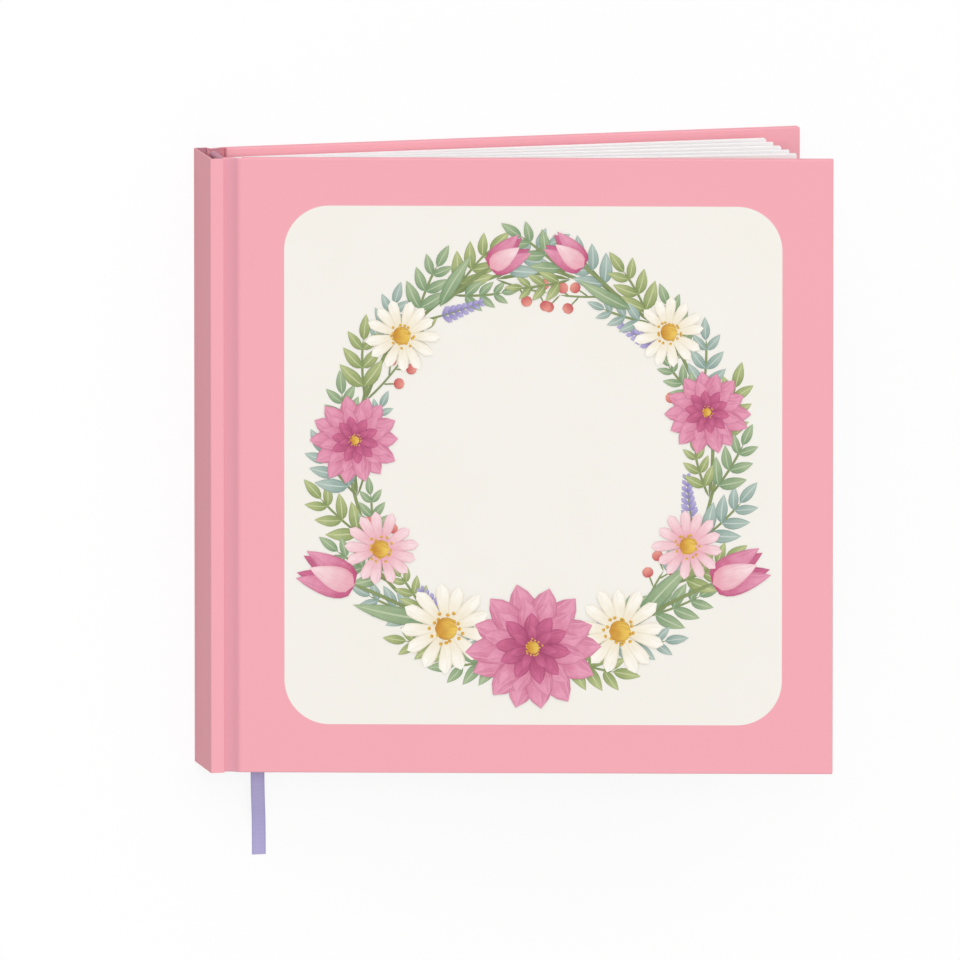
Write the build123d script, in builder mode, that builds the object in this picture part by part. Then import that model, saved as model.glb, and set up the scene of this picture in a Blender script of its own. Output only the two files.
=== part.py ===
"""A square hard-cover address book, lying on its back cover with its leaves fanned a little open.

+X runs from the spine to the fore-edge, +Y from the tail to the head, +Z up from the table.
The origin is on the table, at the middle of the back cover's outline.
"""

import math
import os

from build123d import *

# Case: three boards wrapped in one printed sheet
case_width = 160.0  # spine face to fore-edge
case_height = 160.0  # tail to head
board_thickness = 2.2
spine_board_thickness = 3.0
spine_board_inset = 4.0  # hollow left in the wrap at the head and the tail
paper_thickness = 0.3
pastedown_thickness = 0.2
turn_in_width = 14.0  # printed sheet folded over the inside of a board
pastedown_margin = 3.5  # bare turn-in left round the pastedown
board_corner_radius = 1.0
groove_width = 3.4  # pressed joint between the spine board and a cover board
groove_depth = 1.2
hinge_rise = 0.15  # hinge line outside the cover's face, so that the open cover clears the spine

# Text block: signatures sewn through the fold, gathered into leaf groups that turn together
leaf_thickness = 0.15
leaves_per_signature = 6
signatures_per_group = [3, 2, 3, 2, 3]  # from the back cover to the front cover
head_square = 2.2  # cover overhang at the head and the tail
fore_edge_square = 8.4  # cover overhang at the fore-edge
group_clearance = 0.1  # between closed neighbours
ribbon_clearance = 0.4  # between the two groups that hold the ribbon
front_clearance = 0.2  # between the last leaf and the closed front cover
ribbon_group = 1  # the ribbon lies on this group, counted from the back
fold_radius = 0.35  # half thickness of a group at its sewn fold
fold_taper = 8.0  # length over which a group grows to its full thickness
fold_setback = 1.5  # sewn fold in front of the spine lining
tab_depth = 6.0  # step of the cut index
tab_corner_radius = 2.0
flyleaf_setback = 1.0  # flyleaf edge inside the cut index

# Sewing, lining and bands
thread_radius = 0.15
thread_clearance = 0.05
stitch_stations = [-64.0, -22.0, 22.0, 64.0]
stitch_width = 2.0
stitch_gap = 4.0  # opening in the fold at each station
thread_end = 2.0  # thread stops this far inside the leaf
lining_thickness = 0.4
band_height = 1.5  # headband roll along the book's height
band_depth = 1.7  # headband roll away from the lining
band_clearance = 0.2
band_radius = 0.6

# Ribbon marker
ribbon_width = 3.6
ribbon_thickness = 0.2
ribbon_head_offset = 2.5  # from the fold, at its head
ribbon_tail_offset = 11.5  # from the fold, at its free end
ribbon_head_reach = 0.9  # past the leaves at the head
ribbon_tail_reach = 27.5  # past the leaves at the tail
# Route of the ribbon: distance along it from its head, height above the leaf that it lies on
ribbon_from_head = [(0.0, 0.16), (26.0, 0.19), (66.0, 0.21)]
# Then distance along it from the leaves' tail, height above the same leaf
ribbon_over_tail = [
    (-48.1, 0.21), (-22.1, 0.2), (-7.1, 0.18), (2.6, 0.13), (8.4, -0.85), (13.5, -4.1),
]
# Then distance along it from the leaves' tail, height above the table
ribbon_on_table = [(17.6, 1.4), (22.5, 0.4), (27.35, 0.28)]

# Angles at rest, from the table
front_cover_angle = 14.6
rear_group_angle = 0.4
front_group_angle = 7.0

# Worked out from the above
cover_thickness = 2 * paper_thickness + board_thickness + pastedown_thickness
signature_thickness = leaf_thickness * leaves_per_signature
group_count = len(signatures_per_group)
signature_count = sum(signatures_per_group)
spine_face = -case_width / 2
shoulder_edge = spine_face + paper_thickness + spine_board_thickness + paper_thickness
hinge_x = shoulder_edge + groove_width / 2
lining_face = spine_face + paper_thickness + spine_board_thickness + lining_thickness
fold_x = lining_face + fold_setback
leaf_height = case_height - 2 * head_square
leaf_width = case_width / 2 - fore_edge_square - fold_x
tab_height = leaf_height / signature_count
cover_reach = case_width / 2 - hinge_x

# Closed stack: the height of each leaf group's sewn fold
group_thickness = [count * signature_thickness for count in signatures_per_group]
fold_heights = []
level = cover_thickness + group_clearance + leaf_thickness
for index, thickness in enumerate(group_thickness):
    fold_heights.append(level + thickness / 2)
    level += thickness + (ribbon_clearance if index == ribbon_group else group_clearance)
case_thickness = level - group_clearance + leaf_thickness + front_clearance + cover_thickness
group_step = (front_group_angle - rear_group_angle) / (group_count - 1)
group_angles = [rear_group_angle + group_step * index for index in range(group_count)]


def tilted_plane(x, z, angle):
    """Plane through the line (x, z), its x axis raised by angle towards the fore-edge."""
    turn = math.radians(angle)
    return Plane(
        origin=(x, 0, z),
        x_dir=(math.cos(turn), 0, math.sin(turn)),
        z_dir=(-math.sin(turn), 0, math.cos(turn)),
    )


def side_plane(plane):
    """Cross-section plane: x along the leaf, y away from the table, seen from the tail."""
    return Plane(origin=plane.origin, x_dir=plane.x_dir, z_dir=-plane.y_dir)


# Hinge planes of the two covers, each with z pointing from the outer face into the book
back_hinge = Plane(origin=(hinge_x, 0, -hinge_rise))
front_rest = tilted_plane(hinge_x, case_thickness + hinge_rise, front_cover_angle)
front_hinge = Plane(origin=front_rest.origin, x_dir=front_rest.x_dir, z_dir=-front_rest.z_dir)
group_planes = [tilted_plane(fold_x, z, a) for z, a in zip(fold_heights, group_angles)]


def slab(plane, low, high, x_range, height, radius=0.0):
    """Adds a plate to the open part, rounded at its two fore-edge corners."""
    length = x_range[1] - x_range[0]
    middle = (x_range[0] + x_range[1]) / 2
    with BuildSketch(plane.offset(low)) as outline:
        with Locations((middle, 0)):
            Rectangle(length, height)
        if radius > 0:
            fillet(outline.vertices().group_by(lambda v: plane.to_local_coords(v.center()).X)[-1], radius)
    extrude(outline.sketch, amount=high - low)


def make_cover(side, hinge):
    """Board, printed sheet and pastedown of one cover, in layers from the outer face inwards."""
    inner_edge = groove_width / 2
    sheet_top = hinge_rise
    board_top = sheet_top + paper_thickness
    board_low = board_top + board_thickness
    turn_in_low = board_low + paper_thickness
    pastedown_low = turn_in_low + pastedown_thickness
    board_reach = (inner_edge, cover_reach - paper_thickness)
    board_height = case_height - 2 * paper_thickness
    window_reach = (inner_edge, board_reach[1] - turn_in_width)
    window_height = board_height - 2 * turn_in_width

    with BuildPart() as board:
        slab(hinge, board_top, board_low, board_reach, board_height, board_corner_radius)
    with BuildPart() as window:
        slab(hinge, board_low, turn_in_low, window_reach, window_height)
    with BuildPart() as sheet:
        outer_radius = board_corner_radius + paper_thickness
        slab(hinge, sheet_top, turn_in_low, (inner_edge, cover_reach), case_height, outer_radius)
        add(board.part, mode=Mode.SUBTRACT)
        add(window.part, mode=Mode.SUBTRACT)
    with BuildPart() as pastedown:
        plate_reach = (inner_edge, cover_reach - pastedown_margin)
        plate_height = case_height - 2 * pastedown_margin
        slab(hinge, turn_in_low, pastedown_low, plate_reach, plate_height)
        add(window.part)
    save(board, f"{side}_board")
    save(sheet, f"{side}_cover_paper")
    save(pastedown, f"{side}_pastedown")


def make_spine():
    """Spine board in its wrap of printed sheet, and the lining glued behind the folds."""
    board_x = (spine_face + paper_thickness, spine_face + paper_thickness + spine_board_thickness)
    board_z = (paper_thickness, case_thickness - paper_thickness)
    with BuildPart() as board:
        slab(Plane.XY, *board_z, board_x, case_height - 2 * spine_board_inset)
    with BuildPart() as hollow:
        slab(Plane.XY, *board_z, board_x, case_height)
    with BuildPart() as sheet:
        slab(Plane.XY, 0, case_thickness, (spine_face, board_x[1]), case_height)
        add(hollow.part, mode=Mode.SUBTRACT)
    with BuildPart() as lining:
        inset = cover_thickness + group_clearance
        lining_height = leaf_height + 2 * band_clearance  # up to the bands
        slab(Plane.XY, inset, case_thickness - inset, (board_x[1], lining_face), lining_height)
    save(board, "spine_board")
    save(sheet, "spine_cover_paper")
    save(lining, "spine_lining")


def make_joint_paper(side, outer_level, inward, angle):
    """The printed sheet where it dips between the spine board and a cover board.

    Its far wall stands on the cover board's edge, so it is turned with the cover.
    """
    hinge = Vector(hinge_x, outer_level - inward * hinge_rise)
    half = groove_width / 2

    def on_spine(x, depth):
        return (hinge_x + x, outer_level + inward * depth)

    def on_cover(x, depth):
        point = Vector(x, inward * (depth + hinge_rise)).rotate(Axis.Z, angle) + hinge
        return (point.X, point.Y)

    floor = groove_depth + paper_thickness
    inside = half - paper_thickness
    outline = [
        on_spine(-half - paper_thickness, 0), on_spine(-half - paper_thickness, floor),
        on_spine(0, floor), on_cover(half, floor), on_cover(half, 0),
        on_cover(inside, 0), on_cover(inside, groove_depth),
        on_spine(0, groove_depth), on_spine(-half, groove_depth), on_spine(-half, 0),
    ]
    with BuildPart() as joint:
        with BuildSketch(Plane.XZ):
            with BuildLine():
                Polyline(*outline, close=True)
            make_face()
        extrude(amount=case_height / 2, both=True)
    save(joint, f"{side}_joint_paper")


def make_signature(number, group, low, high):
    """One sewn signature, tapered to its fold and step-cut below its own index tab."""
    plane = group_planes[group]
    half = group_thickness[group] / 2
    holds_fold = low < 0 <= high
    start = 0.0 if holds_fold else fold_radius + band_clearance
    with BuildPart() as signature:
        with BuildSketch(side_plane(plane)):
            taper_end = (fold_taper, half)
            Polygon(
                (0, -fold_radius), (fold_taper, -half), (leaf_width, -half),
                (leaf_width, half), taper_end, (0, fold_radius), align=None,
            )
            with Locations(((start + leaf_width) / 2, (low + high) / 2)):
                Rectangle(leaf_width - start, high - low, mode=Mode.INTERSECT)
        extrude(amount=leaf_height / 2, both=True)
        if holds_fold:
            with BuildSketch(side_plane(plane)):
                Circle(fold_radius)
            extrude(amount=leaf_height / 2, both=True)
            with BuildSketch(side_plane(plane)):
                Circle(thread_radius + thread_clearance)
            extrude(amount=leaf_height / 2, both=True, mode=Mode.SUBTRACT)
            with BuildSketch(plane):
                with Locations(*[(0, y) for y in stitch_stations]):
                    Rectangle(2 * (fold_radius + band_clearance), stitch_gap)
            extrude(amount=half, both=True, mode=Mode.SUBTRACT)
        if number < signature_count:
            tab_low = leaf_height / 2 - number * tab_height
            cut_height = tab_low + leaf_height / 2
            with BuildSketch(plane):
                with Locations((leaf_width - tab_depth, -leaf_height / 2)):
                    Rectangle(tab_depth, cut_height, align=(Align.MIN, Align.MIN))
            extrude(amount=half, both=True, mode=Mode.SUBTRACT)
            tab_edges = signature.edges().filter_by(Axis(plane.origin, plane.z_dir))
            corner = plane.from_local_coords((leaf_width, tab_low, (low + high) / 2))
            fillet(tab_edges.sort_by_distance(corner)[0], tab_corner_radius)
    save(signature, f"signature_{number:02d}")


def make_flyleaf(side, group, inward):
    """Free leaf of an endpaper, tipped on the outer signature and clear of the index."""
    plane = group_planes[group]
    face = inward * group_thickness[group] / 2
    levels = sorted((face, face + inward * leaf_thickness))
    with BuildPart() as flyleaf:
        reach = (fold_taper, leaf_width - tab_depth - flyleaf_setback)
        slab(plane, levels[0], levels[1], reach, leaf_height)
    save(flyleaf, f"{side}_flyleaf")


def make_text_block():
    """All leaf groups, from the back cover; the index runs from the front cover."""
    number = signature_count
    for group, count in enumerate(signatures_per_group):
        low = -group_thickness[group] / 2
        for _ in range(count):
            make_signature(number, group, low, low + signature_thickness)
            low = round(low + signature_thickness, 9)
            number -= 1
    make_flyleaf("back", 0, -1)
    make_flyleaf("front", group_count - 1, 1)


def make_sewing():
    """A thread along each fold, tied back to the lining at the stations."""
    tie_length = fold_x - lining_face
    with BuildPart() as sewing:
        for height in fold_heights:
            with BuildSketch(Plane.XZ) as thread:
                with Locations((fold_x, height)):
                    Circle(thread_radius)
            extrude(thread.sketch, amount=leaf_height / 2 - thread_end, both=True)
            for station in stitch_stations:
                with Locations((lining_face, station, height)):
                    tie_align = (Align.MIN, Align.CENTER, Align.CENTER)
                    Box(tie_length, stitch_width, 2 * thread_radius, align=tie_align)
    save(sewing, "sewing_threads")


def make_band(name, direction):
    """Woven roll at one end of the folds, glued to the end of the lining."""
    start = direction * (leaf_height / 2 + band_clearance)
    inset = cover_thickness + group_clearance
    with BuildPart() as band:
        end = start + direction * band_height
        low, high = sorted((start, end))
        back = spine_face + paper_thickness + spine_board_thickness
        with BuildSketch(Plane.XY.offset(inset)) as section:
            with Locations(((back + lining_face + band_depth) / 2, (low + high) / 2)):
                Rectangle(lining_face + band_depth - back, high - low)
            fillet(section.vertices().group_by(Axis.X)[-1], band_radius)
        extrude(amount=case_thickness - 2 * inset)
    save(band, name)


def make_ribbon():
    """Flat ribbon between two leaf groups, hanging out at the tail down to the table."""
    page = group_planes[ribbon_group].offset(group_thickness[ribbon_group] / 2)
    start = Vector(ribbon_head_offset, leaf_height / 2 + ribbon_head_reach)
    end = Vector(ribbon_tail_offset, -leaf_height / 2 - ribbon_tail_reach)
    along = (end - start).normalized()
    direction = page.x_dir * along.X + page.y_dir * along.Y
    profile_plane = Plane(
        origin=page.from_local_coords((start.X, start.Y, 0)),
        x_dir=direction,
        z_dir=direction.cross(page.z_dir),
    )
    leaf_tail = (leaf_height + ribbon_head_reach) / -along.Y
    page_rise = page.from_local_coords((end.X, end.Y, 0)).Z / page.z_dir.Z
    route = list(ribbon_from_head)
    route += [(leaf_tail + distance, height) for distance, height in ribbon_over_tail]
    route += [(leaf_tail + distance, height - page_rise) for distance, height in ribbon_on_table]
    points = [Vector(*point) for point in route]
    radii = []
    for before, here, after in zip(points, points[1:], points[2:]):
        turn = math.radians((here - before).get_angle(after - here))
        shorter = min((here - before).length, (after - here).length)
        radii.append(0.45 * shorter / math.tan(turn / 2))
    with BuildPart() as ribbon:
        with BuildSketch(profile_plane):
            with BuildLine() as line:
                FilletPolyline(*route, radius=radii)
            trace(line.line, ribbon_thickness)
        extrude(amount=ribbon_width / 2, both=True)
    length = sum(edge.length for edge in line.edges())
    print("ribbon bend radii mm:", [round(radius, 1) for radius in radii])
    print("ribbon length mm:", round(length, 2), "least z:", round(ribbon.part.bounding_box().min.Z, 3))
    print("ribbon volume / (section x length):",
          round(ribbon.part.volume / (ribbon_width * ribbon_thickness * length), 4))
    save(ribbon, "ribbon_marker")


def save(builder, name):
    """Labels a finished piece and writes its STEP file."""
    builder.part.label = name
    export_step(builder.part, f"parts/{name}.step")


os.makedirs("parts", exist_ok=True)
print("closed thickness mm:", round(case_thickness, 3), "folds at z:", [round(z, 3) for z in fold_heights])
make_cover("back", back_hinge)
make_cover("front", front_hinge)
make_spine()
make_joint_paper("back", 0.0, 1, 0.0)
make_joint_paper("front", case_thickness, -1, front_cover_angle)
make_text_block()
make_sewing()
make_band("headband", 1)
make_band("tailband", -1)
make_ribbon()
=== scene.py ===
import math
import random

import bmesh
import bpy
from bmesh.types import BMEdge, BMFace, BMVert
from mathutils import Matrix, Vector


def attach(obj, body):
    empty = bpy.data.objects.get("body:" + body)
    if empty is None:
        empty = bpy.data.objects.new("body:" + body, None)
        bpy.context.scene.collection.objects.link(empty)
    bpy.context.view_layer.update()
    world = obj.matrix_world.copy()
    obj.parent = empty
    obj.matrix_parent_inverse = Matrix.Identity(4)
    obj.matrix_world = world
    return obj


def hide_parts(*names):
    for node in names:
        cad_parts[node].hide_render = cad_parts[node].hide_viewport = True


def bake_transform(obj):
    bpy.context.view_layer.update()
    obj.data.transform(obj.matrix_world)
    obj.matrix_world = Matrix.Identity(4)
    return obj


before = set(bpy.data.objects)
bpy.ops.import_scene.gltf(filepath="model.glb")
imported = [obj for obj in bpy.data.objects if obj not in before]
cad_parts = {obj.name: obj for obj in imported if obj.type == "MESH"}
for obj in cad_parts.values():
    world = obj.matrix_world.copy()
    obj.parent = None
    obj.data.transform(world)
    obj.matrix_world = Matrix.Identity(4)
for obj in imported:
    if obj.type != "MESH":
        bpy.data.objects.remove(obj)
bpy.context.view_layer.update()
scene = bpy.context.scene
scene.view_settings.view_transform = "Standard"
mm = 0.001
print("frame loaded:", len(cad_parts), "nodes")

camera = {
    "target": (-9.087, -6.1, 20.0),  # mm
    "towardsSpine": 13.503,  # degrees off the vertical
    "towardsHead": 9.4845,
    "distance": 9000.0,  # mm; a long lens, since the cover's edges run parallel in the photograph
    "frameWidth": 247.15,  # mm of the object across the picture
    "sensor": 36.0,  # mm
}


def addCamera(c):
    side = math.radians(c["towardsSpine"])
    head = math.radians(c["towardsHead"])
    toward = Vector((-math.cos(head) * math.sin(side), math.sin(head), math.cos(head) * math.cos(side)))
    right = Vector((0, 1, 0)).cross(toward).normalized()
    up = toward.cross(right)
    lens = bpy.data.cameras.new("camera")
    lens.sensor_width = c["sensor"]
    lens.lens = c["sensor"] * c["distance"] / c["frameWidth"]
    lens.clip_end = 30  # metres, well past the floor
    holder = bpy.data.objects.new("camera", lens)
    place = (Vector(c["target"]) + toward * c["distance"]) * mm
    holder.matrix_world = Matrix.Translation(place) @ Matrix((right, up, toward)).transposed().to_4x4()
    scene.collection.objects.link(holder)
    scene.camera = holder


addCamera(camera)
print("camera placed")


def hexColor(code):  # sRGB hex to linear
    values = [int(code[i:i + 2], 16) / 255 for i in (1, 3, 5)]
    linear = [v / 12.92 if v <= 0.04045 else ((v + 0.055) / 1.055) ** 2.4 for v in values]
    return (*linear, 1.0)


def newMaterial(name):
    material = bpy.data.materials.new(name)
    material.use_nodes = True
    material.node_tree.nodes.clear()
    return material


def addNode(material, kind, inputs=(), give=0, **settings):  # gives back one of the new node's outputs
    tree = material.node_tree
    node = tree.nodes.new("ShaderNode" + kind)
    for setting, value in settings.items():
        setattr(node, setting, value)
    given = inputs if isinstance(inputs, dict) else dict(enumerate(inputs))
    for socket, value in given.items():
        if isinstance(value, bpy.types.NodeSocket):
            tree.links.new(value, node.inputs[socket])
        else:
            node.inputs[socket].default_value = value
    return node.outputs[give] if node.outputs else node


def finishSurface(material, base, layers, roughness, height=None, bump=(0.0, 0.3), **sockets):
    color = hexColor(base)
    for share, code in layers:  # each colour lies over the ones before it
        color = addNode(material, "Mix", {0: share, 6: color, 7: hexColor(code)}, 2, data_type="RGBA")
    inputs = {"Base Color": color, "Roughness": roughness}
    for socket, value in sockets.items():
        inputs[socket.replace("_", " ")] = value
    if height is not None:
        relief = {"Distance": bump[0] * mm, "Strength": bump[1], "Height": height}
        inputs["Normal"] = addNode(material, "Bump", relief)
    shader = addNode(material, "BsdfPrincipled", inputs)
    addNode(material, "OutputMaterial", {"Surface": shader})
    return material


def perMm(size):  # texture scale for a noise grain of that many millimetres
    return 1 / (size * mm)


def waveScale(width):  # texture scale for bands of about that many millimetres, light and dark in turn
    return 1 / (width * mm) / math.tau


def newPiece(name, bm, materials, smoothAngle=35):
    mesh = bpy.data.meshes.new(name)
    bm.normal_update()
    bm.to_mesh(mesh)
    bm.free()
    for material in materials:
        mesh.materials.append(material)
    mesh.polygons.foreach_set("use_smooth", [True] * len(mesh.polygons))
    mesh.set_sharp_from_angle(angle=math.radians(smoothAngle))
    piece = bpy.data.objects.new(name, mesh)
    piece.modifiers.new("flat_faces", "WEIGHTED_NORMAL").keep_sharp = True  # flat beside rounded edges
    scene.collection.objects.link(piece)
    return piece


def dressNode(node, material):
    piece = bpy.data.objects[node]
    piece.data.materials.clear()
    piece.data.materials.append(material)


def smoothStep(value):
    value = min(max(value, 0.0), 1.0)
    return value * value * (3 - 2 * value)


def writeUv(bm, layer):  # flat place in metres, so patterns keep their real size
    uv = bm.loops.layers.uv.new(layer)
    for face in bm.faces:
        for loop in face.loops:
            loop[uv].uv = (loop.vert.co.x * mm, loop.vert.co.y * mm)


def pick(made, kind):  # the vertices, edges or faces among what an operator gives back
    return [item for item in made["geom"] if isinstance(item, kind)]


def addBox(bm, size, middle, **options):
    verts = bmesh.ops.create_cube(bm, size=1, **options)["verts"]
    bmesh.ops.scale(bm, vec=size, verts=verts)
    bmesh.ops.translate(bm, vec=middle, verts=verts)
    return verts


def thicken(bm, by, **options):  # flat faces become closed solids
    made = bmesh.ops.extrude_face_region(bm, geom=bm.faces[:], **options)
    bmesh.ops.translate(bm, vec=by, verts=pick(made, BMVert))
    bmesh.ops.recalc_face_normals(bm, faces=bm.faces)
    bm.normal_update()


def roundOff(bm, geom, radius, segments, affect="EDGES"):
    bmesh.ops.bevel(
        bm, geom=geom, offset=radius, offset_type="OFFSET", segments=segments, profile=0.5,
        affect=affect, material=-1, clamp_overlap=True,
    )
    bm.normal_update()


# Ribbon: limp satin marker, glued in at the head and free at the tail
ribbon = {
    "width": 3.6,
    "thickness": 0.2,
    "length": 185.86,
    "foldX": -74.8,
    "foldZ": 6.95,
    "pageAngle": 2.05,
    "halfGroup": 0.9,
    "headOffset": 2.5,
    "tailOffset": 11.5,
    "leafHalf": 77.8,
    "headReach": -0.7,  # the glued end is out of sight between the leaves
    "tailReach": 27.5,
    "fromHead": [(0.0, 0.16), (26.0, 0.19), (66.0, 0.21)],
    "overTail": [(-48.1, 0.21), (-22.1, 0.2), (-7.1, 0.18), (2.6, 0.13), (8.4, -0.85), (13.5, -4.1)],
    "onTable": [(17.6, 1.4), (22.5, 0.4), (27.35, 0.28)],
    # small moves sideways, so that the part below the cover hangs straight as photographed
    "aside": [0.0, 0.0, 0.0, 0.0, -0.15, -0.45, -0.71, -0.76, -0.24, 0.21, 0.21, 0.0],
    "acrossSteps": 6,
    "alongSteps": 6,  # between one point of the route and the next
    "crown": 0.05,  # slight rise in the middle of the width
    "slackFrom": 77.0,  # mm below the middle, at about the leaves' tail edge
    "slackTo": 100.0,  # and here it lies on the table
}


def ribbonRoute(r):
    turn = math.radians(r["pageAngle"])
    pageX = Vector((math.cos(turn), 0, math.sin(turn)))
    pageZ = Vector((-math.sin(turn), 0, math.cos(turn)))
    origin = Vector((r["foldX"], 0, r["foldZ"])) + pageZ * r["halfGroup"]
    start = Vector((r["headOffset"], r["leafHalf"] + r["headReach"]))
    end = Vector((r["tailOffset"], -r["leafHalf"] - r["tailReach"]))
    along = (end - start).normalized()
    leafTail = (2 * r["leafHalf"] + r["headReach"]) / -along.y
    pageRise = (origin + pageX * end.x).z / pageZ.z
    route = list(r["fromHead"])
    route += [(leafTail + d, h) for d, h in r["overTail"]]
    route += [(leafTail + d, h - pageRise) for d, h in r["onTable"]]
    direction = pageX * along.x + Vector((0, along.y, 0))
    first = origin + pageX * start.x + Vector((0, start.y, 0))
    points = [first + direction * d + pageZ * h + pageX * s for (d, h), s in zip(route, r["aside"])]
    return points, pageZ


def splinePoints(points, steps):
    curve = bpy.data.curves.new("ribbon_line", "CURVE")
    curve.dimensions = "3D"
    spline = curve.splines.new("NURBS")
    spline.points.add(len(points) - 1)
    for target, point in zip(spline.points, points):
        target.co = (*(point * mm), 1.0)
    spline.order_u = 3
    spline.use_endpoint_u = True
    spline.resolution_u = steps
    holder = bpy.data.objects.new("ribbon_line", curve)
    scene.collection.objects.link(holder)
    line = bpy.data.meshes.new_from_object(holder)
    found = [vertex.co / mm for vertex in line.vertices]
    bpy.data.objects.remove(holder)
    bpy.data.curves.remove(curve)
    bpy.data.meshes.remove(line)
    return found


# Polyester satin: long floats give a soft gloss along the ribbon, with closer, darker selvedges
def makeSatin():
    m = newMaterial("polyester satin")
    place = addNode(m, "UVMap", uv_map="weave")
    threads = []
    for axis, spacing, stray in (("X", 0.45, 0.6), ("Y", 0.6, 0.4)):  # floats, then picks
        wave = {"Vector": place, "Scale": waveScale(spacing), "Distortion": stray}
        threads.append(addNode(m, "TexWave", wave, "Fac", bands_direction=axis))
    weave = addNode(m, "Math", threads, operation="MULTIPLY")
    cloud = addNode(m, "TexNoise", {"Vector": place, "Scale": perMm(9.0), "Detail": 3.0, "Roughness": 0.55})
    fromMiddle = addNode(m, "Math", [addNode(m, "SeparateXYZ", [place])], operation="ABSOLUTE")
    layers = [
        (cloud, "#beb6dd"),
        (addNode(m, "MapRange", [weave, 0.0, 1.0, 0.25, 0.0]), "#a299ce"),
        (addNode(m, "MapRange", [fromMiddle, 1.25 * mm, 1.7 * mm, 0.0, 0.55]), "#9c94ca"),
    ]
    rough = addNode(m, "MapRange", [weave, 0.0, 1.0, 0.5, 0.36])
    return finishSurface(
        m, "#b5acdb", layers, rough, weave, (0.06, 0.25),
        Sheen_Weight=0.15, Sheen_Roughness=0.4, Anisotropic=0.4,
    )


def makeRibbon(r):
    route, pageZ = ribbonRoute(r)
    line = splinePoints(route, r["alongSteps"])
    bm = bmesh.new()
    weave = bm.loops.layers.uv.new("weave")
    steps = r["acrossSteps"]
    share = [2 * i / steps - 1 for i in range(steps + 1)]
    crown = [r["crown"] * (1 - s * s) for s in share]
    across = (line[1] - line[0]).cross(pageZ).normalized()
    row = [bm.verts.new(line[0] + across * (s * r["width"] / 2)) for s in share]
    edges = [bm.edges.new(pair) for pair in zip(row, row[1:])]
    place = {vert: (s * r["width"] / 2, 0.0) for vert, s in zip(row, share)}
    travelled = 0.0
    for before, here in zip(line, line[1:]):
        travelled += (here - before).length
        across = (here - before).cross(pageZ).normalized()
        made = bmesh.ops.extrude_edge_only(bm, edges=edges)
        edges = [e for e in pick(made, BMEdge) if e.is_boundary and not any(v in place for v in e.verts)]
        row = sorted({v for e in edges for v in e.verts}, key=lambda v: (v.co - before).dot(across))
        for vert, s, rise in zip(row, share, crown):
            vert.co = here + across * (s * r["width"] / 2) + Vector((0, 0, rise))
            place[vert] = (s * r["width"] / 2, travelled)
    for face in bm.faces:
        for loop in face.loops:
            loop[weave].uv = Vector(place[loop.vert]) * mm
    bmesh.ops.recalc_face_normals(bm, faces=bm.faces)
    bm.normal_update()
    if sum(face.normal.z for face in bm.faces) < 0:
        bmesh.ops.reverse_faces(bm, faces=bm.faces)
    bmesh.ops.translate(bm, vec=(0, 0, r["thickness"] / 2), verts=bm.verts)
    bmesh.ops.solidify(bm, geom=bm.faces[:], thickness=r["thickness"])
    bmesh.ops.scale(bm, vec=(mm, mm, mm), verts=bm.verts)
    piece = newPiece("ribbon_satin", bm, [makeSatin()], 50)
    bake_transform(piece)
    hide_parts("ribbon_marker")


makeRibbon(ribbon)
print("ribbon laid")

# Case: one printed sheet round two cover boards and a spine board, pressed into a groove at each joint
case = {
    "pink": "#f4acb6",
    "hingeX": -74.7,
    "thickness": 19.0,
    "hingeRise": 0.15,
    "frontAngle": 14.6,
    "reach": 154.7,  # hinge to fore-edge
    "height": 160.0,
    "wrapDepth": 2.8,  # outer face to the turned-in sheet
    "paper": 0.3,
    "turnIn": 14.0,
    "edgeRadius": 0.32,
    "cornerRadius": 0.36,
    "grooveHalf": 1.7,
    "grooveDepth": 1.2,
    "grooveLow": -0.9,  # where it is deepest
    "grooveBend": 0.5,  # radius at the foot of the spine's shoulder
    "flatFrom": 2.9,  # where the groove's soft shoulder meets the flat cover
    "rollDrop": 0.35,  # how far the groove's head and tail ends go down over the edge
    "bendFrom": -1.2,  # the sheet bends from here, mm from the hinge
    "bendTo": 2.2,
    "spineFace": -80.0,
    "spineDepth": 3.6,
    "spineInset": 4.0,  # the spine board stops short, so the wrap is hollow at the head and the tail
}


# Cover paper: printed sheet with a matt film laminate, so it is even, softly sheened and finely toothed
def makeCoverPaper(c):
    m = newMaterial("matt laminated cover paper")
    place = addNode(m, "UVMap", uv_map="sheet")
    # real tooth is about 0.1 mm, drawn coarser so that it shows
    tooth = addNode(m, "TexNoise", {"Vector": place, "Scale": perMm(0.7), "Detail": 4.0, "Roughness": 0.6})
    cloud = addNode(m, "TexNoise", {"Vector": place, "Scale": perMm(38.0), "Detail": 2.0, "Roughness": 0.55})
    across = addNode(m, "SeparateXYZ", [place])
    grooveShadeFromSpine = addNode(m, "MapRange", [across, -1.9 * mm, -0.6 * mm, 0.0, 1.0])
    grooveShadeFromCover = addNode(m, "MapRange", [across, 1.5 * mm, 2.3 * mm, 1.0, 0.0])
    layers = [
        (cloud, "#f2a8b3"),
        (addNode(m, "MapRange", [tooth, 0.35, 0.7, 0.0, 0.06]), "#fbc4cb"),
        # hot-pressed groove, with painted shade: its colour is darker across it
        (addNode(m, "Math", [grooveShadeFromSpine, grooveShadeFromCover], operation="MULTIPLY"), "#e4a2b0"),
    ]
    rough = addNode(m, "MapRange", [tooth, 0.3, 0.7, 0.56, 0.68])
    return finishSurface(m, c["pink"], layers, rough, tooth, (0.05, 0.12), Specular_IOR_Level=0.18)


coverPaper = makeCoverPaper(case)


def edgesBetween(bm, firstTest, secondTest):
    found = []
    for edge in bm.edges:
        faces = edge.link_faces
        if len(faces) == 2 and (
            (firstTest(faces[0]) and secondTest(faces[1])) or (firstTest(faces[1]) and secondTest(faces[0]))
        ):
            found.append(edge)
    return found


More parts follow.
